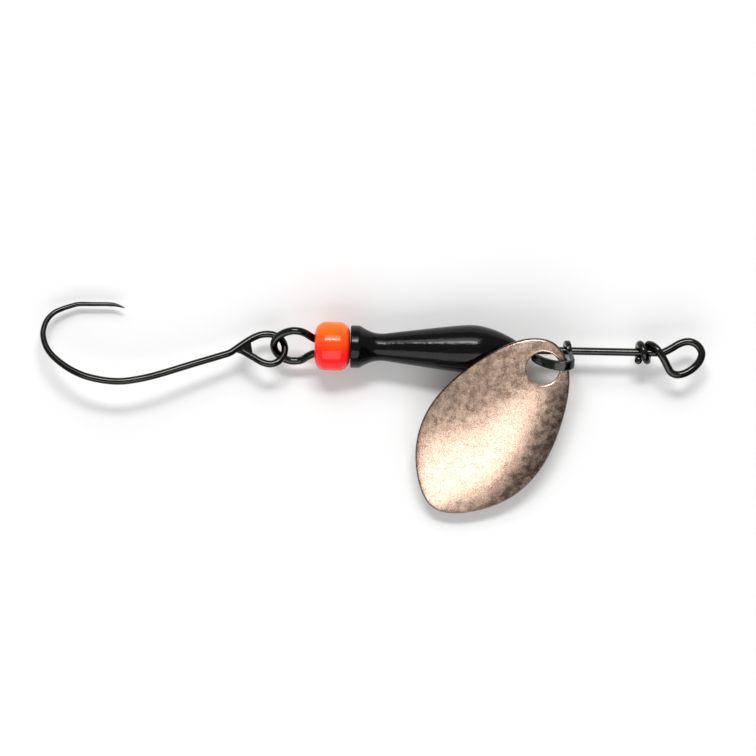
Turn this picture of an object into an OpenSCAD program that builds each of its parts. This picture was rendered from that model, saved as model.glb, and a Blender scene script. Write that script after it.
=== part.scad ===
// Inline spinner: a straight wire shaft carrying a metal-blade spinner, a
// turned weight and a bead, with a quick-change loop holding a single hook.
// The origin is the centre of the line eye, on the shaft axis.
// +X runs forward along the shaft, +Z is up, -Y is the front side.

/* [Shaft wire] */
// Diameter of the shaft wire (mm)
wire_d = 0.78; // [0.5:0.01:1.0]
// Rear end of the straight core (mm)
core_rear_x = -34.2; // [-36:0.1:-33]
// Front end of the straight core (mm)
core_front_x = -2.6; // [-4:0.1:-2]
// Radius of the wrap centreline (mm)
wrap_r = 0.81; // [0.75:0.01:0.9]
// Spacing of the wraps along the shaft (mm)
wrap_pitch = 0.86; // [0.8:0.01:1.2]
// Number of turns in the wraps
wrap_turns = 1.78; // [1:0.01:3]
// Lean of the rear loop about the shaft (degrees)
loop_lean = 35; // [0:1:45]
// Front end of the wire tag kept inside the bead and the weight (mm)
tag_end_x = -32.7; // [-33.2:0.1:-31]

/* [Weight body] */
// Rear face of the weight (mm)
weight_rear_x = -33.36; // [-34:0.01:-32]
// Length of the weight (mm)
weight_len = 16.86; // [14:0.01:20]
// Largest radius of the weight (mm)
weight_r = 2.41; // [2:0.01:3]
// Radius of the neck (mm)
neck_r = 1.37; // [1.3:0.01:2]
// Radius of the rear rim (mm)
rim_r = 2.13; // [1.8:0.01:2.4]
// Radius of the nose end (mm)
nose_r = 0.62; // [0.6:0.01:1]
// Radius of the running bore on the wire (mm)
bore_r = 0.44; // [0.4:0.01:0.5]
// Radius of the wide bore that takes the wire and its tag (mm)
wide_bore_r = 1.24; // [1.2:0.01:1.3]
// Depth of the wide bore in the rear of the weight (mm)
wide_bore_depth = 1.1; // [0.8:0.1:2]

/* [Rear bead] */
// Rear face of the bead (mm)
bead_rear_x = -36.93; // [-38:0.01:-36]
// Length of the bead along the wire (mm)
bead_len = 3.53; // [3:0.01:5]
// Radius of the bead (mm)
bead_r = 2.44; // [2:0.01:3]
// Corner radius of the bead (mm)
bead_corner_r = 1.15; // [0.5:0.05:1.2]

/* [Bearing bead] */
// Rear face of the bearing bead (mm)
bearing_rear_x = -16.46; // [-17:0.01:-16]
// Length of the bearing bead (mm)
bearing_len = 1.1; // [0.8:0.05:1.3]
// Radius of the bearing bead (mm)
bearing_r = 0.85; // [0.7:0.05:1.2]

/* [Clevis] */
// Turn of the clevis about the shaft, below the -Y direction (degrees)
clevis_turn = 22; // [0:1:45]
// Centre of the rear ear (mm)
ear_rear_x = -14.98; // [-16:0.01:-14]
// Centre of the front ear (mm)
ear_front_x = -11.66; // [-13:0.01:-11]
// Outer radius of an ear (mm)
ear_r = 1.05; // [0.9:0.05:1.3]
// Thickness of an ear (mm)
ear_t = 0.56; // [0.4:0.02:0.8]
// Forward lean of the front ear, which follows its leg (degrees)
ear_lean = 10; // [0:1:15]
// Thickness of the clevis strip (mm)
strip_t = 0.46; // [0.3:0.02:0.6]
// Width of the clevis strip (mm)
strip_w = 0.95; // [0.7:0.05:1.2]
// Radius of the bores in the ears (mm)
clevis_bore_r = 0.46; // [0.42:0.01:0.6]

/* [Blade] */
// Turn of the blade about the shaft, below the -Y direction (degrees)
blade_tilt = 15; // [0:1:30]
// Length of the blade (mm)
blade_len = 20.86; // [18:0.01:25]
// Largest half-width of the blade (mm)
blade_half_w = 6.42; // [5:0.01:8]
// Depth of the blade's bowl (mm)
bowl_depth = 1.35; // [0.5:0.05:2.5]
// Thickness of the blade (mm)
blade_t = 0.5; // [0.3:0.05:0.6]
// Diameter of the hole that takes the clevis (mm)
blade_hole_d = 3.3; // [2.5:0.1:4]
// Distance from the hole's centre to the nearer end of the blade (mm)
hole_margin = 2.64; // [2.3:0.01:4]
// Distance of the hole's centre from the blade's middle line (mm)
hole_offset = 0.45; // [0:0.01:1]
// Distance from the shaft axis to the blade's rim (mm)
blade_rise = 2.55; // [2.5:0.05:4]
// Hole centre along the shaft (mm)
blade_hole_x = -14.16; // [-15:0.01:-13]
// Hole centre below the plane through the shaft square to the blade (mm)
blade_hole_drop = 0.96; // [0:0.01:1.2]
// Angle of the blade below the rearward direction (degrees)
blade_swing = 56; // [0:1:60]

/* [Hook] */
// Diameter of the hook wire at the shank (mm)
hook_d = 0.7; // [0.5:0.02:0.8]
// Lean of the hook about the shaft (degrees)
hook_lean = 25; // [0:1:40]
// Length of the hook's tapered point (mm)
point_len = 1.3; // [1:0.1:3]
// Length from the point over which the forged bend thickens to the full wire (mm)
forged_len = 18; // [12:1:24]
// Thickness of the web that closes the hook's eye (mm)
web_t = 0.42; // [0.3:0.02:0.5]

/* [Hidden] */
$fn = 48;
// sides of a swept wire's section
wire_sides = 12;
// samples on each span of a swept wire
span_steps = 4;
// points along each side of the blade's outline
outline_n = 36;
// rings from the middle of the blade to its rim
ring_n = 8;
weight_nose_x = weight_rear_x + weight_len;
wire_r = wire_d / 2;
hook_r = hook_d / 2;
swept_r = wire_r * 0.985;
// unit directions of the blade: out from the shaft, and down across it
out_dir = [0, -cos(blade_tilt), -sin(blade_tilt)];
down_dir = [0, sin(blade_tilt), -cos(blade_tilt)];

// ---------- curves and swept wires ----------

function unit(v) = v / norm(v);

// one Catmull-Rom span from b to c
function span_point(a, b, c, d, t) =
  0.5 * ((2 * b) + (c - a) * t + (2 * a - 5 * b + 4 * c - d) * t * t
    + (3 * b - a - 3 * c + d) * t * t * t);

// a smooth curve through the points
function smooth(p, steps = span_steps) =
  let (n = len(p), q = concat([2 * p[0] - p[1]], p, [2 * p[n - 1] - p[n - 2]]))
  concat(
    [for (i = [0:n - 2], j = [0:steps - 1])
      span_point(q[i], q[i + 1], q[i + 2], q[i + 3], j / steps)],
    [p[n - 1]]);

function tangent(p, i) =
  let (n = len(p))
  unit(p[min(i + 1, n - 1)] - p[max(i - 1, 0)]);

// carries a normal along the path without twisting it
function carried(v, t) = unit(v - (v * t) * t);

function section(c, t, v, r) =
  let (b = cross(t, v))
  [for (k = [0:wire_sides - 1])
    let (a = 360 * k / wire_sides)
    c + r * (cos(a) * v + sin(a) * b)];

function sections(p, radii, start) =
  [for (i = 0, v = carried(start, tangent(p, 0)); i < len(p);
      i = i + 1, v = i < len(p) ? carried(v, tangent(p, i)) : v)
    section(p[i], tangent(p, i), v, radii[i])];

module swept(p, radii, start = [0, 0.6, 0.8]) {
  rings = sections(p, radii, start);
  n = len(rings);
  m = wire_sides;
  pts = [for (ring = rings, q = ring) q];
  sides = [for (i = [0:n - 2], k = [0:m - 1], h = [0, 1])
    let (k2 = (k + 1) % m)
    h == 0
      ? [i * m + k, (i + 1) * m + k, (i + 1) * m + k2]
      : [i * m + k, (i + 1) * m + k2, i * m + k2]];
  first = [[for (k = [0:m - 1]) k]];
  last = [[for (k = [m - 1:-1:0]) (n - 1) * m + k]];
  polyhedron(points = pts, faces = concat(sides, first, last), convexity = 10);
}

module round_wire(p, r, start = [0, 0.6, 0.8]) {
  swept(p, [for (q = p) r], start);
}

// a cylinder along X from x0 to x1
module along_x(x0, x1, r) {
  translate([x0, 0, 0])
    rotate([0, 90, 0])
      cylinder(r = r, h = x1 - x0);
}

// ---------- shaft wire ----------

// the line eye, seen from the side, then the strand that crosses the core
eye_strand = [
  [-3.0, 0, 0], [-2.2, 0, 0.02], [-1.7, 0, 0.22], [-1.2, 0, 0.5], [-0.56, 0, 0.9],
  [0.12, 0, 1.15], [0.8, 0, 1.12], [1.42, 0, 0.75], [1.78, 0, 0.08], [1.62, -0.01, -0.66],
  [1.14, -0.03, -1.3], [0.5, -0.07, -1.8], [-0.2, -0.13, -2.1], [-0.82, -0.2, -2.14],
  [-1.33, -0.31, -1.88], [-1.64, -0.46, -1.38], [-1.95, -0.64, -0.82], [-2.25, -0.78, -0.32]
];

// the wraps, one point every 24 degrees round the core
wrap_step = 24;
wrap_start = 14;
wrap_first_x = -2.62;
wrap_top_x = -3.55;
// how far each turn leans from square to the core
wrap_sway = 0.15;
function wrap_x(a) =
  a < 90
    ? wrap_first_x + (wrap_top_x - wrap_first_x) * (a - wrap_start) / (90 - wrap_start)
    : wrap_top_x - wrap_pitch * (a - 90) / 360 + wrap_sway * (1 - cos(a - 90));
wraps = [for (a = [wrap_start:wrap_step:wrap_start + 360 * wrap_turns])
  [wrap_x(a), -wrap_r * cos(a), wrap_r * sin(a)]];

// the rear loop: out of the bead above the axis, round, and back in below it
loop_side = [
  [core_rear_x + 0.7, 0], [core_rear_x, 0.03], [-35.0, 0.16], [-35.8, 0.38], [-36.5, 0.57],
  [-37.1, 0.77], [-37.93, 1.25], [-38.6, 1.43], [-39.3, 1.42], [-40.1, 1.16], [-40.75, 0.68],
  [-41.02, 0.06], [-40.85, -0.6], [-40.3, -1.17], [-39.6, -1.48], [-38.9, -1.55],
  [-38.23, -1.43], [-37.6, -1.05], [-37.0, -0.78], [-36.4, -wrap_r], [-35.6, -wrap_r],
  [-34.6, -wrap_r], [-33.6, -wrap_r], [tag_end_x, -wrap_r]
];
lean_start_x = -36.6;
lean_length = 1.8;
function lean_ramp(x) =
  let (t = max(0, min(1, (lean_start_x - x) / lean_length)))
  t * t * (3 - 2 * t);
loop_strand = [for (q = loop_side) [q[0], -q[1] * tan(loop_lean) * lean_ramp(q[0]), q[1]]];

module shaft_wire() {
  color("#3a3f38") {
    along_x(core_rear_x, core_front_x, wire_r);
    round_wire(smooth(concat(eye_strand, wraps), 3), swept_r);
    round_wire(smooth(loop_strand, 3), swept_r);
  }
}

// ---------- beads and weight ----------

module rear_bead() {
  color("#ff6a1a")
    translate([bead_rear_x, 0, 0])
      rotate([0, 90, 0])
        difference() {
          rotate_extrude($fn = 64)
            bead_section();
          translate([0, 0, -1])
            cylinder(r = wide_bore_r, h = bead_len + 2, $fn = 48);
        }
}

module bead_section() {
  square([bead_r - bead_corner_r, bead_len]);
  translate([0, bead_corner_r])
    square([bead_r, bead_len - 2 * bead_corner_r]);
  for (z = [bead_corner_r, bead_len - bead_corner_r])
    translate([bead_r - bead_corner_r, z])
      circle(r = bead_corner_r, $fn = 48);
}

// radius of the weight and distance from its rear face, from the rim to the nose
weight_side = [
  [2.1, 0.95], [1.83, 1.42], [1.56, 2.0], [1.41, 2.56], [neck_r, 3.16], [1.43, 3.76],
  [1.6, 5.0], [1.84, 6.8], [2.075, 8.6], [2.29, 10.4], [2.385, 11.4], [weight_r, 12.1],
  [2.35, 12.9], [2.15, 13.8], [1.86, 14.7], [1.45, 15.6], [1.13, 16.2], [0.86, 16.6],
  [0.68, 16.78]
];
weight_outline = concat(
  [[rim_r - 0.12, 0], [rim_r, 0.12], [rim_r, 0.75]],
  smooth(weight_side, 2),
  [[nose_r, weight_len]]);

module weight_body() {
  color("#15161a")
    translate([weight_rear_x, 0, 0])
      rotate([0, 90, 0])
        difference() {
          rotate_extrude($fn = 96)
            polygon(concat([[0, 0]], weight_outline, [[0, weight_len]]));
          translate([0, 0, -1])
            cylinder(r = bore_r, h = weight_len + 2, $fn = 32);
          translate([0, 0, -1])
            cylinder(r = wide_bore_r, h = wide_bore_depth + 1, $fn = 48);
        }
}

module bearing_bead() {
  color("#b9bcc0")
    translate([bearing_rear_x, 0, 0])
      rotate([0, 90, 0])
        difference() {
          rotate_extrude($fn = 48)
            bearing_section();
          translate([0, 0, -1])
            cylinder(r = bore_r, h = bearing_len + 2, $fn = 32);
        }
}

module bearing_section() {
  corner = 0.3;
  square([bearing_r - corner, bearing_len]);
  translate([0, corner])
    square([bearing_r, bearing_len - 2 * corner]);
  for (z = [corner, bearing_len - corner])
    translate([bearing_r - corner, z])
      circle(r = corner, $fn = 32);
}

// ---------- clevis ----------

// middle line of the strip from the rear ear to the front ear: x along the shaft,
// y out from the shaft
leg_root = 0.55;
strip_path = smooth([
  [ear_rear_x, leg_root], [-15.12, 1.2], [-15.0, 1.9], [-14.55, 2.65], [-13.9, 3.35],
  [-13.1, 3.85], [-12.35, 4.08], [-11.7, 3.92], [-11.32, 3.4], [-11.32, 2.75],
  [-11.4, 1.95], [-11.5, 1.25], [ear_front_x, leg_root]
]);
// the line at distance h to the outer side of the strip
function strip_edge(h) =
  [for (i = [0:len(strip_path) - 1])
    let (t = tangent(strip_path, i))
    strip_path[i] + h * [-t[1], t[0]]];
function reversed(p) = [for (i = [len(p) - 1:-1:0]) p[i]];

// drawn with x along the shaft, y across the strip and z out from the shaft
module clevis_flat() {
  difference() {
    union() {
      along_x(ear_rear_x - ear_t / 2, ear_rear_x + ear_t / 2, ear_r);
      translate([ear_front_x, 0, 0])
        rotate([0, ear_lean, 0])
          along_x(-ear_t / 2, ear_t / 2, ear_r);
      translate([0, strip_w / 2, 0])
        rotate([90, 0, 0])
          linear_extrude(strip_w)
            polygon(concat(strip_edge(strip_t / 2), reversed(strip_edge(-strip_t / 2))));
    }
    along_x(ear_rear_x - 1, ear_front_x + 1, clevis_bore_r);
  }
}

module clevis() {
  color("#33382f")
    rotate([90 + clevis_turn, 0, 0])
      clevis_flat();
}

// ---------- blade ----------

// half-width of the blade; t runs from 0 at the hole end to 1 at the tip
hole_end_power = 0.562;
tip_power = 0.5;
widest_t = 0.57;
function width_shape(t) =
  pow(t, hole_end_power) * pow(1 - t, tip_power)
    * (2.083 - 1.547 * t + 5.004 * t * t - 3.967 * t * t * t);
function half_width(t) = t <= 0 || t >= 1 ? 0 : blade_half_w * width_shape(t);

outline_t = [for (i = [0:outline_n]) (1 - cos(180 * i / outline_n)) / 2];
function outline_u(t) = blade_len * t - hole_margin;
blade_outline = concat(
  [for (i = [0:outline_n])
    [outline_u(outline_t[i]), -half_width(outline_t[i]) - hole_offset]],
  [for (i = [outline_n - 1:-1:1])
    [outline_u(outline_t[i]), half_width(outline_t[i]) - hole_offset]]);
bowl_centre = [outline_u(widest_t), -hole_offset];

function bowl(s) = bowl_depth * (1 - pow(s, 2.2));
function blade_ring(s, z) =
  [for (q = blade_outline)
    let (c = bowl_centre + (q - bowl_centre) * s)
    [c[0], c[1], z]];

rim_inset = 0.98;
blade_levels = concat(
  [for (k = [1:ring_n - 1]) let (s = rim_inset * k / ring_n) [s, bowl(s)]],
  [[rim_inset, bowl(rim_inset)], [1, blade_t / 2], [rim_inset, bowl(rim_inset) + blade_t]],
  [for (k = [ring_n - 1:-1:1]) let (s = rim_inset * k / ring_n) [s, bowl(s) + blade_t]]);

module blade_shell() {
  m = len(blade_outline);
  n = len(blade_levels);
  rings = [for (lv = blade_levels, q = blade_ring(lv[0], lv[1])) q];
  back_mid = [bowl_centre[0], bowl_centre[1], bowl(0)];
  front_mid = [bowl_centre[0], bowl_centre[1], bowl(0) + blade_t];
  pts = concat(rings, [back_mid, front_mid]);
  sides = [for (i = [0:n - 2], k = [0:m - 1], h = [0, 1])
    let (k2 = (k + 1) % m)
    h == 0
      ? [i * m + k, (i + 1) * m + k, (i + 1) * m + k2]
      : [i * m + k, (i + 1) * m + k2, i * m + k2]];
  back_fan = [for (k = [0:m - 1]) [n * m, k, (k + 1) % m]];
  front_fan = [for (k = [0:m - 1]) [n * m + 1, (n - 1) * m + (k + 1) % m, (n - 1) * m + k]];
  polyhedron(points = pts, faces = concat(sides, back_fan, front_fan), convexity = 6);
}

module blade() {
  color("#b07a68")
    translate([blade_hole_x, 0, 0] + blade_rise * out_dir + blade_hole_drop * down_dir)
      rotate([90 + blade_tilt, 0, 0])
        rotate([0, 0, 180 + blade_swing])
          difference() {
            blade_shell();
            translate([0, 0, -1])
              cylinder(d = blade_hole_d, h = bowl_depth + blade_t + 2, $fn = 64);
          }
}

// ---------- hook ----------

// centreline of the hook in its own plane, from the point round to the end of the eye
hook_side = [
  [-56.14, 3.44], [-57.3, 3.74], [-59.46, 3.74], [-60.7, 3.72], [-61.46, 3.53],
  [-62.4, 3.2], [-63.23, 2.76], [-63.89, 1.95], [-64.17, 0.86], [-63.98, -0.14],
  [-63.5, -1.05], [-62.63, -1.92], [-61.34, -2.79], [-59.98, -3.4], [-58.64, -3.74],
  [-57.3, -3.92], [-56.0, -3.93], [-54.7, -3.74], [-53.4, -3.45], [-52.06, -3.06],
  [-50.3, -2.48], [-48.51, -1.89], [-46.9, -1.38], [-46.1, -1.12], [-45.41, -0.88],
  [-44.85, -0.5], [-44.0, 0.12], [-43.25, 0.61], [-42.5, 0.95], [-41.73, 1.08],
  [-40.97, 0.98], [-40.3, 0.57], [-39.94, -0.11], [-39.97, -0.83], [-40.33, -1.46],
  [-40.87, -1.82], [-41.5, -1.91], [-42.2, -1.72], [-43.0, -1.28], [-43.65, -0.92],
  [-44.15, -0.65]
];
hook_axis_z = -0.35;
function hook_point(q) =
  [q[0], (q[1] - hook_axis_z) * tan(hook_lean), q[1]];

// distance along a path up to sample i
function run_length(p, i) = i <= 0 ? 0 : norm(p[i] - p[i - 1]) + run_length(p, i - 1);
function forged_radius(s) =
  let (t = min(1, s / point_len), u = min(1, s / forged_len))
  hook_r * (0.1 + 0.5 * pow(t, 0.7) + 0.4 * u * u * (3 - 2 * u));

// the web that fills the crotch where the eye's end meets the shank
web_side = [
  [-45.0, -0.62], [-44.1, 0.02], [-43.35, 0.5], [-43.3, 0.05], [-43.2, -0.45],
  [-43.05, -1.2], [-43.65, -1.12], [-44.15, -0.98], [-44.95, -0.72]
];

module hook_web() {
  translate([0, 0, hook_axis_z])
    rotate([90 - hook_lean, 0, 0])
      linear_extrude(web_t, center = true)
        polygon([for (q = web_side) [q[0], (q[1] - hook_axis_z) / cos(hook_lean)]]);
}

module hook() {
  wire = smooth([for (q = hook_side) hook_point(q)]);
  radii = [for (i = [0:len(wire) - 1]) forged_radius(run_length(wire, i))];
  color("#34382f") {
    swept(wire, radii);
    hook_web();
  }
}

shaft_wire();
rear_bead();
weight_body();
bearing_bead();
clevis();
blade();
hook();
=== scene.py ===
"""Looks for an inline spinner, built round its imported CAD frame.

+X runs forward along the shaft, +Z is up and the viewer stands on the -Y side.
The pieces are drawn in millimetres, which MM turns into metres. The stage, the lights
and the camera are placed in metres.
"""
import bisect
import math

import bpy
from mathutils import Matrix, Vector


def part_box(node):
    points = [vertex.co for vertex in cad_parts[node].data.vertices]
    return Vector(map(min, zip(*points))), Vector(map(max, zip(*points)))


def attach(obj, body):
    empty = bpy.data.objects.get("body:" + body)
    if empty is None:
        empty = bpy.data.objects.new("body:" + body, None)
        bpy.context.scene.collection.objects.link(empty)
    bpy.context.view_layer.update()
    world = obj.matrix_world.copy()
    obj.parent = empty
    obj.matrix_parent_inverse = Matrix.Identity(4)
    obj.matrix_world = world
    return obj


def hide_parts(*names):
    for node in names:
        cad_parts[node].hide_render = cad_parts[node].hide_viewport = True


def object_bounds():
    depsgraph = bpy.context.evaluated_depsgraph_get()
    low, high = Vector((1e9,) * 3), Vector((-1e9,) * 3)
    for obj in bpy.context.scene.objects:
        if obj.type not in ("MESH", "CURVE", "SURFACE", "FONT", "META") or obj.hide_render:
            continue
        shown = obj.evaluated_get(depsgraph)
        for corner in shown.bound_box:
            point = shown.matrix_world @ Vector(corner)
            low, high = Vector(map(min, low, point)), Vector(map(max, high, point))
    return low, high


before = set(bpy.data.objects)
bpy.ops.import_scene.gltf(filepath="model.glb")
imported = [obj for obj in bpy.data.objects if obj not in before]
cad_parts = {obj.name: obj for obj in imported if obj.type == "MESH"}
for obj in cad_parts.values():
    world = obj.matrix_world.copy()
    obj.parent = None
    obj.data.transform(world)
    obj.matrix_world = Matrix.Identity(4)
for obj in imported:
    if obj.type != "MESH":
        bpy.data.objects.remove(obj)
cad_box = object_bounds()

MM = 0.001

# ---------- sizes shared with the design ----------

# shaft wire: the core, the wraps round it and the rear loop
WIRE_R = 0.39
CORE_REAR_X = -34.2
CORE_FRONT_X = -2.6
WRAP_R = 0.81
WRAP_PITCH = 0.86
WRAP_TURNS = 1.78
WRAP_START = 14
WRAP_STEP = 24
WRAP_FIRST_X = -2.62
WRAP_TOP_X = -3.55
WRAP_SWAY = 0.15
LOOP_LEAN = math.radians(35)
LOOP_LEAN_X = -36.6
LOOP_LEAN_RUN = 1.8

# hook
HOOK_R = 0.35
HOOK_LEAN = math.radians(25)
HOOK_AXIS_Z = -0.35
POINT_LEN = 1.3
FORGED_LEN = 18
WEB_T = 0.42

# clevis
CLEVIS_TURN = math.radians(22)
EAR_REAR_X = -14.98
EAR_FRONT_X = -11.66
EAR_T = 0.56
EAR_R = 1.05
EAR_BORE_R = 0.46
EAR_LEAN = math.radians(10)
STRIP_T = 0.46
STRIP_W = 0.95

# beads and weight
BORE_R = 0.44
WIDE_BORE_R = 1.24
RIM_R = 2.13

# blade
BLADE_TILT = math.radians(15)
BLADE_LEN = 20.86
BLADE_HALF_W = 6.42
BLADE_T = 0.5
BLADE_HOLE_R = 1.65
HOLE_MARGIN = 2.64
HOLE_OFFSET = 0.45
BOWL_DEPTH = 1.35
BOWL_POWER = 2.2
WIDEST_T = 0.57
BLADE_RISE = 2.55
BLADE_HOLE_X = -14.16
BLADE_HOLE_DROP = 0.96
BLADE_SWING = math.radians(56)

# the eye and the loop are a hair thinner than the core that they merge with
STRAND_R = WIRE_R * 0.985

FORWARD = Vector((1, 0, 0))


def out_and_down(turn):
    """Directions out from the shaft and down across it, for a part turned about the shaft."""
    return (Vector((0, -math.cos(turn), -math.sin(turn))),
            Vector((0, math.sin(turn), -math.cos(turn))))


# ---------- mesh helpers ----------

def ease(t):
    """A soft step from 0 to 1."""
    return t * t * (3 - 2 * t)


def smooth(points, steps):
    """A Catmull-Rom curve through the points, with steps points to each gap."""
    p = [Vector(q) for q in points]
    p = [2 * p[0] - p[1]] + p + [2 * p[-1] - p[-2]]
    out = []
    for a, b, c, d in zip(p, p[1:], p[2:], p[3:]):
        for k in range(steps):
            t = k / steps
            out.append(0.5 * (2 * b + (c - a) * t + (2 * a - 5 * b + 4 * c - d) * t * t
                              + (3 * b - a - 3 * c + d) * t ** 3))
    return out + [p[-2]]


def in_scene(name, data):
    """A new object in the scene that shows a mesh, a light or a camera."""
    obj = bpy.data.objects.new(name, data)
    bpy.context.scene.collection.objects.link(obj)
    return obj


def mesh_object(name, verts, faces, crease_deg=40):
    """A smooth-shaded mesh object. Vertices are given in millimetres."""
    mesh = bpy.data.meshes.new(name)
    mesh.from_pydata([tuple(v * MM for v in q) for q in verts], [], faces)
    mesh.validate()
    obj = in_scene(name, mesh)
    bpy.context.view_layer.objects.active = obj
    for other in bpy.context.selected_objects:
        other.select_set(False)
    obj.select_set(True)
    bpy.ops.object.mode_set(mode="EDIT")
    bpy.ops.mesh.select_all(action="SELECT")
    bpy.ops.mesh.normals_make_consistent(inside=False)
    bpy.ops.object.mode_set(mode="OBJECT")
    bpy.ops.object.shade_smooth_by_angle(angle=math.radians(crease_deg))
    return obj


def band_faces(rings, count, closed=False):
    """Quads between neighbouring rings of count vertices each."""
    faces = []
    last = rings if closed else rings - 1
    for i in range(last):
        j = (i + 1) % rings
        for k in range(count):
            n = (k + 1) % count
            faces.append((i * count + k, i * count + n, j * count + n, j * count + k))
    return faces


def end_faces(total, count):
    """The faces that close the first and the last ring of count vertices."""
    return [tuple(range(count)), tuple(range(total - 1, total - 1 - count, -1))]


def tube(path, radii, sides=28):
    """Vertices and faces of a round wire along path, with low domed ends."""
    tangents = []
    for i in range(len(path)):
        a, b = path[max(i - 1, 0)], path[min(i + 1, len(path) - 1)]
        tangents.append((b - a).normalized())
    frames = []
    side = Vector((0, 0.6, 0.8))
    for t in tangents:
        side = (side - side.dot(t) * t).normalized()
        frames.append((side.copy(), t.cross(side)))
    flatness = 0.5
    angles = [math.radians(15 * k) for k in range(5, 0, -1)]
    rings = []
    for a in angles:
        tip = path[0] - tangents[0] * radii[0] * math.sin(a) * flatness
        rings.append((tip, radii[0] * math.cos(a), frames[0]))
    rings += zip(path, radii, frames)
    for a in reversed(angles):
        tip = path[-1] + tangents[-1] * radii[-1] * math.sin(a) * flatness
        rings.append((tip, radii[-1] * math.cos(a), frames[-1]))
    verts = []
    for q, r, (u, v) in rings:
        for k in range(sides):
            a = math.tau * k / sides
            verts.append(q + r * (math.cos(a) * u + math.sin(a) * v))
    return verts, band_faces(len(rings), sides) + end_faces(len(verts), sides)


def joined(*parts):
    """Several vertex and face lists as one."""
    verts, faces = [], []
    for v, f in parts:
        base = len(verts)
        verts.extend(v)
        faces.extend(tuple(i + base for i in face) for face in f)
    return verts, faces


def lathe(profile, segments):
    """A closed profile of (x, radius) turned round the X axis."""
    verts = []
    for k in range(segments):
        a = math.tau * k / segments
        for x, r in profile:
            verts.append(Vector((x, r * math.cos(a), r * math.sin(a))))
    return verts, band_faces(segments, len(profile), closed=True)


def arc(cx, cy, r, a0, a1, n):
    """The n + 1 points of an arc from a0 to a1 degrees."""
    out = []
    for k in range(n + 1):
        a = math.radians(a0 + (a1 - a0) * k / n)
        out.append((cx + r * math.cos(a), cy + r * math.sin(a)))
    return out


# ---------- material helpers ----------

class Nodes:
    """A small wrapper that keeps a material's node tree short to write."""

    def __init__(self, name):
        self.mat = bpy.data.materials.new(name)
        self.mat.use_nodes = True
        self.tree = self.mat.node_tree
        self.bsdf = self.tree.nodes["Principled BSDF"]
        self.coord = self.tree.nodes.new("ShaderNodeTexCoord").outputs["Object"]

    def add(self, kind, inputs=None, **settings):
        node = self.tree.nodes.new(kind)
        for key, value in settings.items():
            setattr(node, key, value)
        for key, value in (inputs or {}).items():
            if isinstance(value, bpy.types.NodeSocket):
                self.tree.links.new(value, node.inputs[key])
            else:
                node.inputs[key].default_value = value
        return node

    def noise(self, scale, detail, roughness=0.5, vector=None):
        node = self.add("ShaderNodeTexNoise", {
            "Vector": vector or self.coord, "Scale": scale, "Detail": detail,
            "Roughness": roughness})
        return node.outputs["Fac"]

    def mapped(self, scale, rotation=(0, 0, 0)):
        node = self.add("ShaderNodeMapping", {
            "Vector": self.coord, "Scale": scale, "Rotation": rotation})
        return node.outputs["Vector"]

    def ramp(self, fac, stops):
        """A colour ramp through (place, colour) stops."""
        node = self.add("ShaderNodeValToRGB", {"Fac": fac})
        elements = node.color_ramp.elements
        while len(elements) < len(stops):
            elements.new(0.5)
        for element, (place, value) in zip(elements, stops):
            element.position = place
            element.color = (*value, 1)
        return node.outputs["Color"]

    def mixed(self, colour, factor):
        """One colour multiplied by another."""
        node = self.add("ShaderNodeMix", data_type="RGBA", blend_type="MULTIPLY")
        node.inputs[0].default_value = 1.0
        self.tree.links.new(colour, node.inputs[6])
        self.tree.links.new(factor, node.inputs[7])
        return node.outputs[2]

    def grey(self, fac, low, high, start=0.3, end=0.7):
        """The stretch of fac from start to end, spread from low to high."""
        node = self.add("ShaderNodeMapRange", {
            "Value": fac, "From Min": start, "From Max": end, "To Min": low, "To Max": high})
        return node.outputs["Result"]

    def bump(self, height, strength, distance_mm, normal=None):
        inputs = {"Height": height, "Strength": strength, "Distance": distance_mm * MM}
        if normal:
            inputs["Normal"] = normal
        return self.add("ShaderNodeBump", inputs).outputs["Normal"]

    def shade(self, **inputs):
        """Sets or links the shader's inputs, with _ for each space in a name."""
        for key, value in inputs.items():
            socket = self.bsdf.inputs[key.replace("_", " ")]
            if isinstance(value, bpy.types.NodeSocket):
                self.tree.links.new(value, socket)
            else:
                socket.default_value = value


def black_nickel(name, base=(0.032, 0.034, 0.031), rough=0.09):
    """Dark, slightly green bright plating with faint draw marks and small dull spots."""
    n = Nodes(name)
    cloud = n.noise(420.0, 5.0, 0.6)
    fine = n.noise(5200.0, 3.0, 0.6)
    dark = tuple(c * 0.72 for c in base)
    light = tuple(c * 1.35 for c in base)
    n.shade(Base_Color=n.ramp(cloud, [(0.3, dark), (0.72, light)]), Metallic=1.0,
            Roughness=n.grey(cloud, rough * 0.75, rough * 1.45),
            Normal=n.bump(fine, 0.18, 0.012, n.bump(cloud, 0.25, 0.03)))
    return n.mat


# ---------- pieces ----------

def put(obj, body, node, material):
    """Gives a piece its material, ties it to its body and hides its CAD node."""
    obj.data.materials.append(material)
    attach(obj, body)
    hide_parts(node)
    return obj


# --- shaft wire ---

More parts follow.
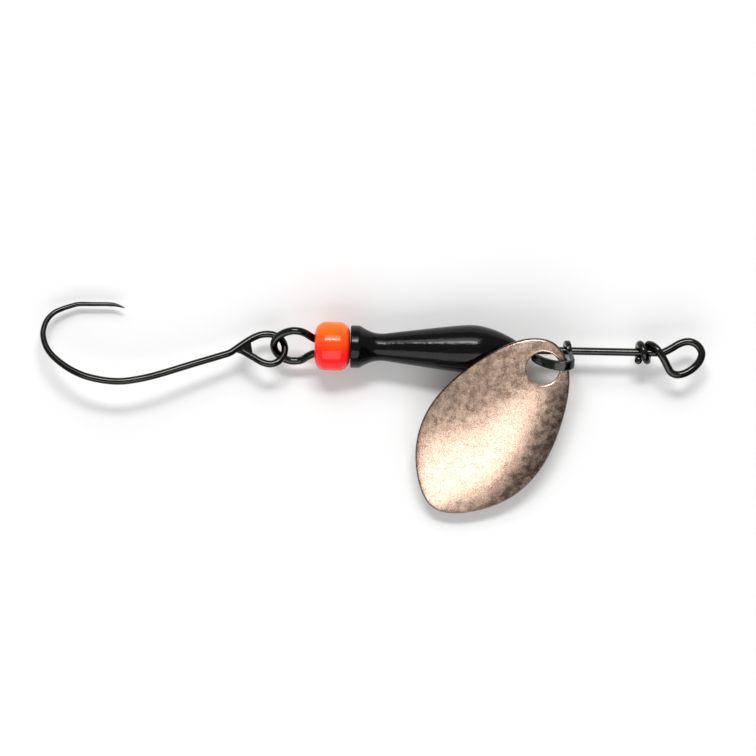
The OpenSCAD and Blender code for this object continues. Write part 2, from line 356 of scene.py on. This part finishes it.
EYE_STRAND = [
    (-3.0, 0, 0), (-2.2, 0, 0.02), (-1.7, 0, 0.22), (-1.2, 0, 0.5), (-0.56, 0, 0.9),
    (0.12, 0, 1.15), (0.8, 0, 1.12), (1.42, 0, 0.75), (1.78, 0, 0.08), (1.62, -0.01, -0.66),
    (1.14, -0.03, -1.3), (0.5, -0.07, -1.8), (-0.2, -0.13, -2.1), (-0.82, -0.2, -2.14),
    (-1.33, -0.31, -1.88), (-1.64, -0.46, -1.38), (-1.95, -0.64, -0.82), (-2.25, -0.78, -0.32),
]
LOOP_SIDE = [
    (-33.5, 0), (-34.2, 0.03), (-35.0, 0.16), (-35.8, 0.38), (-36.5, 0.57),
    (-37.1, 0.77), (-37.93, 1.25), (-38.6, 1.43), (-39.3, 1.42), (-40.1, 1.16), (-40.75, 0.68),
    (-41.02, 0.06), (-40.85, -0.6), (-40.3, -1.17), (-39.6, -1.48), (-38.9, -1.55),
    (-38.23, -1.43), (-37.6, -1.05), (-37.0, -0.78), (-36.4, -WRAP_R), (-35.6, -WRAP_R),
    (-34.6, -WRAP_R), (-33.6, -WRAP_R), (-32.7, -WRAP_R),
]


def wrap_point(a):
    """A point of the wraps at an angle of a degrees round the core, where 90 is the top."""
    if a < 90:
        x = WRAP_FIRST_X + (WRAP_TOP_X - WRAP_FIRST_X) * (a - WRAP_START) / (90 - WRAP_START)
    else:
        sway = WRAP_SWAY * (1 - math.cos(math.radians(a - 90)))
        x = WRAP_TOP_X - WRAP_PITCH * (a - 90) / 360 + sway
    r = math.radians(a)
    return (x, -WRAP_R * math.cos(r), WRAP_R * math.sin(r))


def shaft_wire():
    """One wire, as a straight core with the eye's strand and the loop's strand merged into it."""
    steps = int(360 * WRAP_TURNS / WRAP_STEP)
    eye = smooth(EYE_STRAND + [wrap_point(WRAP_START + WRAP_STEP * k) for k in range(steps + 1)], 6)
    loop = []
    for x, z in LOOP_SIDE:
        lean = math.tan(LOOP_LEAN) * ease(max(0, min(1, (LOOP_LEAN_X - x) / LOOP_LEAN_RUN)))
        loop.append((x, -z * lean, z))
    loop = smooth(loop, 6)
    rings = 40
    core = [Vector((CORE_REAR_X + (CORE_FRONT_X - CORE_REAR_X) * k / rings, 0, 0))
            for k in range(rings + 1)]
    parts = [tube(p, [r] * len(p)) for p, r in ((core, WIRE_R), (eye, STRAND_R), (loop, STRAND_R))]
    obj = mesh_object("shaft_wire_form", *joined(*parts), crease_deg=50)
    return put(obj, "wire", "shaft_wire", black_nickel("wire_black_nickel"))


# --- weight ---

WEIGHT_SIDE = [
    (0.95, 2.1), (1.42, 1.83), (2.0, 1.56), (2.56, 1.41), (3.16, 1.37), (3.76, 1.43),
    (5.0, 1.6), (6.8, 1.84), (8.6, 2.075), (10.4, 2.29), (11.4, 2.385), (12.1, 2.41),
    (12.9, 2.35), (13.8, 2.15), (14.7, 1.86), (15.6, 1.45), (16.2, 1.13), (16.6, 0.86),
    (16.78, 0.68),
]


def weight_body():
    """The turned weight: a wide rear bore for the tag end, a rim, a waist, a swelling and a nose."""
    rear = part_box("weight_body")[0][0] / MM
    pocket = 1.1
    lip = 0.1
    corner = 0.16
    nose = 16.86
    profile = [(pocket, BORE_R), (pocket, WIDE_BORE_R - lip), (pocket - lip, WIDE_BORE_R)]
    profile += arc(lip, WIDE_BORE_R + lip, lip, 270, 180, 4)
    profile += arc(corner, RIM_R - corner, corner, 180, 90, 6)
    profile += [(0.4, RIM_R), (0.75, RIM_R - 0.005)]
    profile += [(q.x, q.y) for q in smooth([(x, r, 0) for x, r in WEIGHT_SIDE], 6)]
    profile += [(nose, 0.6), (nose, BORE_R + 0.05), (nose - 0.06, BORE_R)]
    obj = mesh_object("weight_form", *lathe([(rear + x, r) for x, r in profile], 160))
    return put(obj, "weight", "weight_body", weight_paint())


def weight_paint():
    """Semi-gloss black paint: a faint orange peel, fine metallic grains and worn, dull patches."""
    n = Nodes("weight_black_paint")
    peel = n.noise(1500.0, 4.0, 0.55)
    cloud = n.noise(300.0, 4.0, 0.6)
    grains = n.add("ShaderNodeTexVoronoi", {"Vector": n.coord, "Scale": 9000.0}).outputs["Distance"]
    speck = n.ramp(grains, [(0.0, (1, 1, 1)), (0.16, (0, 0, 0))])
    colour = n.add("ShaderNodeMix", data_type="RGBA", blend_type="MIX")
    n.tree.links.new(speck, colour.inputs[0])
    colour.inputs[6].default_value = (0.0012, 0.0012, 0.0015, 1)
    colour.inputs[7].default_value = (0.05, 0.05, 0.055, 1)
    n.shade(Base_Color=colour.outputs[2], Metallic=0.0, Specular_IOR_Level=0.17,
            Roughness=n.grey(cloud, 0.08, 0.2),
            Normal=n.bump(peel, 0.8, 0.03, n.bump(speck, 0.4, 0.01)))
    return n.mat


# --- beads ---

def bead_profile(node, bore_r, lip, corner, face_angle, lip_steps, corner_steps):
    """The half-section of a bored, round-edged bead that fills its node's box in the frame."""
    low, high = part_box(node)
    x0, x1, r = low[0] / MM, high[0] / MM, high[2] / MM
    profile = arc(x0 + lip, bore_r + lip, lip, 270, 180, lip_steps)
    profile += arc(x0 + corner, r - corner, corner, 180 - face_angle, 90, corner_steps)
    profile += arc(x1 - corner, r - corner, corner, 90, face_angle, corner_steps)
    profile += arc(x1 - lip, bore_r + lip, lip, 0, -90, lip_steps)
    return profile


def rear_bead():
    """The coloured bead, with broad round shoulders and a bore wide enough for two strands."""
    profile = bead_profile("rear_bead", WIDE_BORE_R, 0.12, 1.15, 2, 4, 20)
    obj = mesh_object("rear_bead_form", *lathe(profile, 128))
    return put(obj, "bead", "rear_bead", bead_plastic())


def bead_plastic():
    """Glossy fluorescent plastic, orange above and red-pink below, with a faint moulding ripple."""
    n = Nodes("bead_fluorescent_plastic")
    height = n.add("ShaderNodeSeparateXYZ", {"Vector": n.coord}).outputs["Z"]
    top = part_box("rear_bead")[1][2]
    level = n.grey(height, 0.0, 1.0, -top, top)
    ripple = n.noise(500.0, 3.0)
    wobble = n.add("ShaderNodeMath", {0: level, 1: n.grey(ripple, -0.05, 0.05)}, operation="ADD")
    colour = n.ramp(wobble.outputs[0], [
        (0.0, (0.84, 0.006, 0.012)), (0.38, (0.88, 0.012, 0.006)),
        (0.66, (0.97, 0.075, 0.002)), (1.0, (1.0, 0.15, 0.0))])
    n.shade(Base_Color=colour, Roughness=n.grey(ripple, 0.1, 0.16), Specular_IOR_Level=0.26,
            Normal=n.bump(ripple, 0.12, 0.02))
    return n.mat


def bearing_bead():
    """The small metal bead that the clevis turns against."""
    profile = bead_profile("bearing_bead", BORE_R, 0.06, 0.3, 0, 3, 8)
    obj = mesh_object("bearing_bead_form", *lathe(profile, 64))
    return put(obj, "bearing", "bearing_bead", plain_nickel())


def plain_nickel():
    """Plain nickel with turning rings round the bead."""
    n = Nodes("bearing_nickel")
    rings = n.noise(1.0, 3.0, 0.5, n.mapped((9000.0, 400.0, 400.0)))
    cloud = n.noise(700.0, 3.0)
    n.shade(Base_Color=n.ramp(cloud, [(0.3, (0.42, 0.42, 0.41)), (0.7, (0.62, 0.61, 0.59))]),
            Metallic=1.0, Roughness=n.grey(rings, 0.18, 0.34), Normal=n.bump(rings, 0.2, 0.01))
    return n.mat


# --- clevis ---

# the clevis strip's middle line from ear to ear: along the shaft, and out from it
STRIP_SIDE = [
    (EAR_REAR_X, 0.55), (-15.12, 1.2), (-15.0, 1.9), (-14.55, 2.65), (-13.9, 3.35),
    (-13.1, 3.85), (-12.35, 4.08), (-11.7, 3.92), (-11.32, 3.4), (-11.32, 2.75),
    (-11.4, 1.95), (-11.5, 1.25), (EAR_FRONT_X, 0.55),
]


def clevis_strip(out, down):
    """The bent strip: a rounded section swept from ear to ear."""
    corner = 0.14
    section = []
    for sx, sy, a in ((1, 1, 0), (-1, 1, 90), (-1, -1, 180), (1, -1, 270)):
        section += arc(sx * (STRIP_T / 2 - corner), sy * (STRIP_W / 2 - corner), corner, a, a + 90, 6)
    path = [(q.x, q.y) for q in smooth([(x, y, 0) for x, y in STRIP_SIDE], 6)]
    verts = []
    for i, (x, y) in enumerate(path):
        (ax, ay), (bx, by) = path[max(i - 1, 0)], path[min(i + 1, len(path) - 1)]
        length = math.hypot(bx - ax, by - ay)
        nx, ny = (by - ay) / length, -(bx - ax) / length
        for h, w in section:
            verts.append((x + h * nx) * FORWARD + (y + h * ny) * out + w * down)
    return verts, band_faces(len(path), len(section)) + end_faces(len(verts), len(section))


def clevis_ear(x, lean, down):
    """A round-edged ring on the wire at x, leaning in the plane of the strip."""
    half = EAR_T / 2
    edge = 0.14
    profile = arc(edge - half, EAR_BORE_R + edge, edge, 270, 180, 4)
    profile += arc(edge - half, EAR_R - edge, edge, 180, 90, 5)
    profile += arc(half - edge, EAR_R - edge, edge, 90, 0, 5)
    profile += arc(half - edge, EAR_BORE_R + edge, edge, 0, -90, 4)
    verts, faces = lathe(profile, 72)
    turn = Matrix.Rotation(-lean, 3, down)
    return [x * FORWARD + turn @ q for q in verts], faces


def clevis():
    """The strip and its two ears, which carry the blade on the wire."""
    out, down = out_and_down(CLEVIS_TURN)
    rear = clevis_ear(EAR_REAR_X, 0.0, down)
    front = clevis_ear(EAR_FRONT_X, EAR_LEAN, down)
    obj = mesh_object("clevis_form", *joined(clevis_strip(out, down), rear, front))
    return put(obj, "clevis", "clevis",
               black_nickel("clevis_black_nickel", (0.036, 0.039, 0.036), 0.14))


# --- blade ---

def half_width(t):
    """Half-width of the blade; t runs from 0 at the hole end to 1 at the tip."""
    if t <= 0 or t >= 1:
        return 0.0
    fullness = 2.083 - 1.547 * t + 5.004 * t ** 2 - 3.967 * t ** 3
    return BLADE_HALF_W * t ** 0.562 * (1 - t) ** 0.5 * fullness


def blade_outline():
    """The flat outline round the leaf, with its points closest at the two ends."""
    n = 400
    ts = [(1 - math.cos(math.pi * k / n)) / 2 for k in range(n + 1)]
    side = [(BLADE_LEN * t - HOLE_MARGIN, half_width(t)) for t in ts]
    upper = [(u, v - HOLE_OFFSET) for u, v in side]
    lower = [(u, -v - HOLE_OFFSET) for u, v in reversed(side[1:-1])]
    return upper + lower


def reach_table(centre, outline):
    """(angle, distance) of the outline seen from centre, sorted by angle."""
    rows = []
    for u, v in outline:
        du, dv = u - centre[0], v - centre[1]
        rows.append((math.atan2(dv, du), math.hypot(du, dv)))
    rows.sort()
    first, last = rows[0], rows[-1]
    return [(last[0] - math.tau, last[1])] + rows + [(first[0] + math.tau, first[1])]


def reach(table, angle):
    """The distance of the outline at an angle, between the two nearest rows."""
    i = bisect.bisect_right(table, angle, 1, len(table) - 1, key=lambda row: row[0])
    (a0, d0), (a1, d1) = table[i - 1], table[i]
    return d0 + (d1 - d0) * (angle - a0) / max(a1 - a0, 1e-9)


def blade_points(points):
    """Blade points (along, across, out of its plane) put in their place at rest."""
    cos_s, sin_s = math.cos(BLADE_SWING), math.sin(BLADE_SWING)
    out, down = out_and_down(BLADE_TILT)
    place = BLADE_HOLE_X * FORWARD + BLADE_RISE * out + BLADE_HOLE_DROP * down
    along = -cos_s * FORWARD + sin_s * down
    across = sin_s * FORWARD + cos_s * down
    return [place + u * along + v * across + w * out for u, v, w in points]


def blade():
    """The domed leaf, as rays of section from the hole's edge to the outer edge and back."""
    outline = blade_outline()
    middle = (BLADE_LEN * WIDEST_T - HOLE_MARGIN, -HOLE_OFFSET)
    from_middle = reach_table(middle, outline)
    from_hole = reach_table((0, 0), outline)

    def bowl(u, v):
        du, dv = u - middle[0], v - middle[1]
        s = math.hypot(du, dv) / reach(from_middle, math.atan2(dv, du))
        return BOWL_DEPTH * (1 - min(s, 1) ** BOWL_POWER)

    rays = 288
    half = BLADE_T / 2
    edge_power = 2.6
    edge_steps = [0, 0.012, 0.035, 0.07, 0.12, 0.17, 0.2]
    edge = edge_steps[-1]
    inner_steps = 44
    rim_width = 0.3
    verts = []
    rim = []
    for k in range(rays):
        a = math.tau * k / rays
        far = reach(from_hole, a - math.tau if a > math.pi else a)
        width = far - BLADE_HOLE_R
        ds = edge_steps + [edge + (width - 2 * edge) * j / inner_steps for j in range(1, inner_steps)]
        ds += [width - d for d in reversed(edge_steps)]
        front, back = [], []
        for d in ds:
            near = min(d, width - d)
            g = (1 - (1 - min(near / half, 1)) ** edge_power) ** (1 / edge_power)
            r = BLADE_HOLE_R + d
            u, v = r * math.cos(a), r * math.sin(a)
            z = bowl(u, v) + half
            front.append((u, v, z + half * g))
            back.append((u, v, z - half * g))
        # nearness to the outer edge, kept as the rim attribute where the material paints shade
        nearness = [max(0.0, 1 - (width - d) / rim_width) for d in ds]
        rim += nearness + nearness[-2:0:-1]
        verts += front + back[-2:0:-1]
    faces = band_faces(rays, len(verts) // rays, closed=True)
    obj = mesh_object("blade_form", blade_points(verts), faces, 60)
    obj.data.attributes.new("rim", "FLOAT", "POINT").data.foreach_set("value", rim)
    return put(obj, "blade", "blade", blade_copper())


def blade_copper():
    """Satin rose-brown plating: pitted grain, crossing hairline scratches and painted shade that
    darkens the outer rim.
    """
    n = Nodes("blade_satin_copper")
    along = n.mapped((1, 1, 1), (0, BLADE_SWING, 0))
    scratch = []
    for scale, seed in (((700, 2600, 12000), 0.0), ((9000, 2600, 800), 3.0)):
        vec = n.add("ShaderNodeMapping", {"Vector": along, "Scale": scale, "Location": (seed,) * 3})
        scratch.append(n.noise(1.0, 3.0, 0.55, vec.outputs["Vector"]))
    pits = n.noise(7500.0, 3.0, 0.65)
    blotch = n.noise(1400.0, 4.0, 0.6)
    cloud = n.noise(150.0, 4.0, 0.55)
    base = n.ramp(cloud, [(0.3, (0.68, 0.485, 0.37)), (0.7, (0.84, 0.62, 0.49))])
    grain = n.mixed(base, n.ramp(pits, [(0.36, (0.52, 0.49, 0.48)), (0.6, (1.1, 1.1, 1.1))]))
    worn = n.mixed(grain, n.ramp(blotch, [(0.34, (0.74, 0.71, 0.71)), (0.62, (1.05, 1.05, 1.05))]))
    # painted shade: the rim attribute darkens the colour towards the blade's outer edge
    rim = n.add("ShaderNodeAttribute", attribute_name="rim").outputs["Fac"]
    rim_shaded = n.mixed(worn, n.ramp(rim, [(0.15, (1, 1, 1)), (0.8, (0.13, 0.10, 0.09))]))
    lines = n.bump(scratch[0], 0.25, 0.02, n.bump(scratch[1], 0.2, 0.02))
    n.shade(Base_Color=rim_shaded, Metallic=1.0, Roughness=n.grey(blotch, 0.2, 0.36),
            Normal=n.bump(pits, 0.35, 0.02, lines))
    return n.mat


# --- hook ---

HOOK_SIDE = [
    (-56.14, 3.44), (-57.3, 3.74), (-59.46, 3.74), (-60.7, 3.72), (-61.46, 3.53),
    (-62.4, 3.2), (-63.23, 2.76), (-63.89, 1.95), (-64.17, 0.86), (-63.98, -0.14),
    (-63.5, -1.05), (-62.63, -1.92), (-61.34, -2.79), (-59.98, -3.4), (-58.64, -3.74),
    (-57.3, -3.92), (-56.0, -3.93), (-54.7, -3.74), (-53.4, -3.45), (-52.06, -3.06),
    (-50.3, -2.48), (-48.51, -1.89), (-46.9, -1.38), (-46.1, -1.12), (-45.41, -0.88),
    (-44.85, -0.5), (-44.0, 0.12), (-43.25, 0.61), (-42.5, 0.95), (-41.73, 1.08),
    (-40.97, 0.98), (-40.3, 0.57), (-39.94, -0.11), (-39.97, -0.83), (-40.33, -1.46),
    (-40.87, -1.82), (-41.5, -1.91), (-42.2, -1.72), (-43.0, -1.28), (-43.65, -0.92),
    (-44.15, -0.65),
]
WEB_SIDE = [
    (-45.0, -0.62), (-44.1, 0.02), (-43.35, 0.5), (-43.3, 0.05), (-43.2, -0.45),
    (-43.05, -1.2), (-43.65, -1.12), (-44.15, -0.98), (-44.95, -0.72),
]


def in_hook_plane(x, z):
    """A point of the hook's side view, put in the hook's leaning plane."""
    return Vector((x, (z - HOOK_AXIS_Z) * math.tan(HOOK_LEAN), z))


def hook_web():
    """The web that fills the crotch of the eye, with rounded edges."""
    normal = Vector((0, -math.cos(HOOK_LEAN), math.sin(HOOK_LEAN)))
    outline = [in_hook_plane(x, z) for x, z in WEB_SIDE]
    centre = sum(outline, Vector()) / len(outline)
    half = WEB_T / 2
    edge = 0.1
    inset = 0.86
    levels = ((-half, inset), (edge - half, 1.0), (half - edge, 1.0), (half, inset))
    verts = [centre + (q - centre) * grow + rise * normal for rise, grow in levels for q in outline]
    return verts, band_faces(len(levels), len(outline)) + end_faces(len(verts), len(outline))


def hook_radius(run):
    """The wire's radius at a distance from the tip: a short point, then a long swelling."""
    t = min(1, run / POINT_LEN)
    u = min(1, run / FORGED_LEN)
    return HOOK_R * (0.1 + 0.5 * t ** 0.7 + 0.4 * ease(u))


def hook():
    """The hook's wire from the point to the closed end of the eye, and the web in the eye."""
    path = smooth([in_hook_plane(x, z) for x, z in HOOK_SIDE], 8)
    radii = []
    run = 0.0
    for i, q in enumerate(path):
        run += (q - path[i - 1]).length if i else 0.0
        radii.append(hook_radius(run))
    obj = mesh_object("hook_form", *joined(tube(path, radii), hook_web()), crease_deg=50)
    return put(obj, "hook", "hook",
               black_nickel("hook_black_nickel", (0.026, 0.027, 0.025), 0.09))


# ---------- stage, light and camera ----------

# the middle of the lure and the middle of the blade, in metres
LURE_CENTRE = (-0.030, 0, -0.005)
BLADE_CENTRE = (-0.021, -0.003, -0.010)


def backdrop():
    """A pale ground just behind the lure. Seen from its back it lets the view through."""
    gap = 0.6 * MM
    y = cad_box[1][1] + gap
    size = 1.5
    mesh = bpy.data.meshes.new("ground")
    mesh.from_pydata([(-size, y, -size), (size, y, -size), (size, y, size), (-size, y, size)],
                     [], [(0, 1, 2, 3)])
    obj = in_scene("ground", mesh)
    n = Nodes("ground_pale")
    n.shade(Base_Color=(0.67, 0.67, 0.67, 1), Roughness=0.9, Specular_IOR_Level=0.1)
    clear = n.add("ShaderNodeBsdfTransparent")
    side = n.add("ShaderNodeNewGeometry")
    mix = n.add("ShaderNodeMixShader")
    n.tree.links.new(side.outputs["Backfacing"], mix.inputs[0])
    n.tree.links.new(n.bsdf.outputs[0], mix.inputs[1])
    n.tree.links.new(clear.outputs[0], mix.inputs[2])
    n.tree.links.new(mix.outputs[0], n.tree.nodes["Material Output"].inputs["Surface"])
    obj.data.materials.append(n.mat)


def flag():
    """A matt black card low on the right, which only shows mirrored in the pieces."""
    towards = Vector((0.8, 0, -0.6))
    aside = Vector((0.6, 0, 0.8))
    distance = 0.15
    middle = Vector(BLADE_CENTRE) + distance * towards
    sheet = ((-0.135, -0.07), (-0.1, -0.142), (0.15, -0.142), (0.15, 0.0), (-0.135, 0.0))
    corners = [tuple(middle + u * aside + Vector((0, v, 0))) for u, v in sheet]
    mesh = bpy.data.meshes.new("black_card")
    mesh.from_pydata(corners, [], [tuple(range(len(corners)))])
    obj = in_scene("black_card", mesh)
    n = Nodes("card_black")
    n.shade(Base_Color=(0.02, 0.02, 0.02, 1), Roughness=1.0, Specular_IOR_Level=0.0)
    obj.data.materials.append(n.mat)
    obj.visible_camera = False
    obj.visible_diffuse = False
    obj.visible_shadow = False


def softbox(name, place, target, width, height, watts):
    """A rectangular softbox that the camera doesn't see."""
    light = bpy.data.lights.new(name, "AREA")
    light.energy = watts
    light.shape = "RECTANGLE"
    light.size = width
    light.size_y = height
    obj = in_scene(name, light)
    obj.location = place
    aim = Vector(target) - Vector(place)
    obj.rotation_euler = aim.to_track_quat("-Z", "Y").to_euler()
    obj.visible_camera = False


def lights():
    """A soft white room, a softbox above, one low in front and a long one high in front."""
    world = bpy.data.worlds.new("studio")
    bpy.context.scene.world = world
    world.use_nodes = True
    background = world.node_tree.nodes["Background"]
    background.inputs["Color"].default_value = (1, 1, 1, 1)
    background.inputs["Strength"].default_value = 0.42
    softbox("key_top", (-0.03, -0.32, 0.32), LURE_CENTRE, 0.30, 0.12, 0.55)
    softbox("patch_low", (-0.062, -0.233, -0.228), BLADE_CENTRE, 0.40, 0.24, 0.76)
    softbox("front_strip", (-0.03, -0.51, 0.32), LURE_CENTRE, 0.28, 0.09, 2.5)


def camera():
    """Straight on to the side of the lure, with the shaft dropping slightly to the right."""
    distance = 0.40
    view_width = 0.0756
    view_x = -0.03054
    view_z = -0.00309
    roll = math.radians(1.17)
    data = bpy.data.cameras.new("photo_view")
    data.sensor_width = 36
    data.lens = data.sensor_width * distance / view_width
    data.clip_start = 0.01
    obj = in_scene("photo_view", data)
    obj.matrix_world = (Matrix.Translation((view_x, -distance, view_z))
                        @ Matrix.Rotation(math.radians(90), 4, "X")
                        @ Matrix.Rotation(roll, 4, "Z"))
    bpy.context.scene.camera = obj


shaft_wire()
rear_bead()
weight_body()
bearing_bead()
clevis()
blade()
hook()
backdrop()
flag()
lights()
camera()
bpy.context.scene.view_settings.view_transform = "Standard"
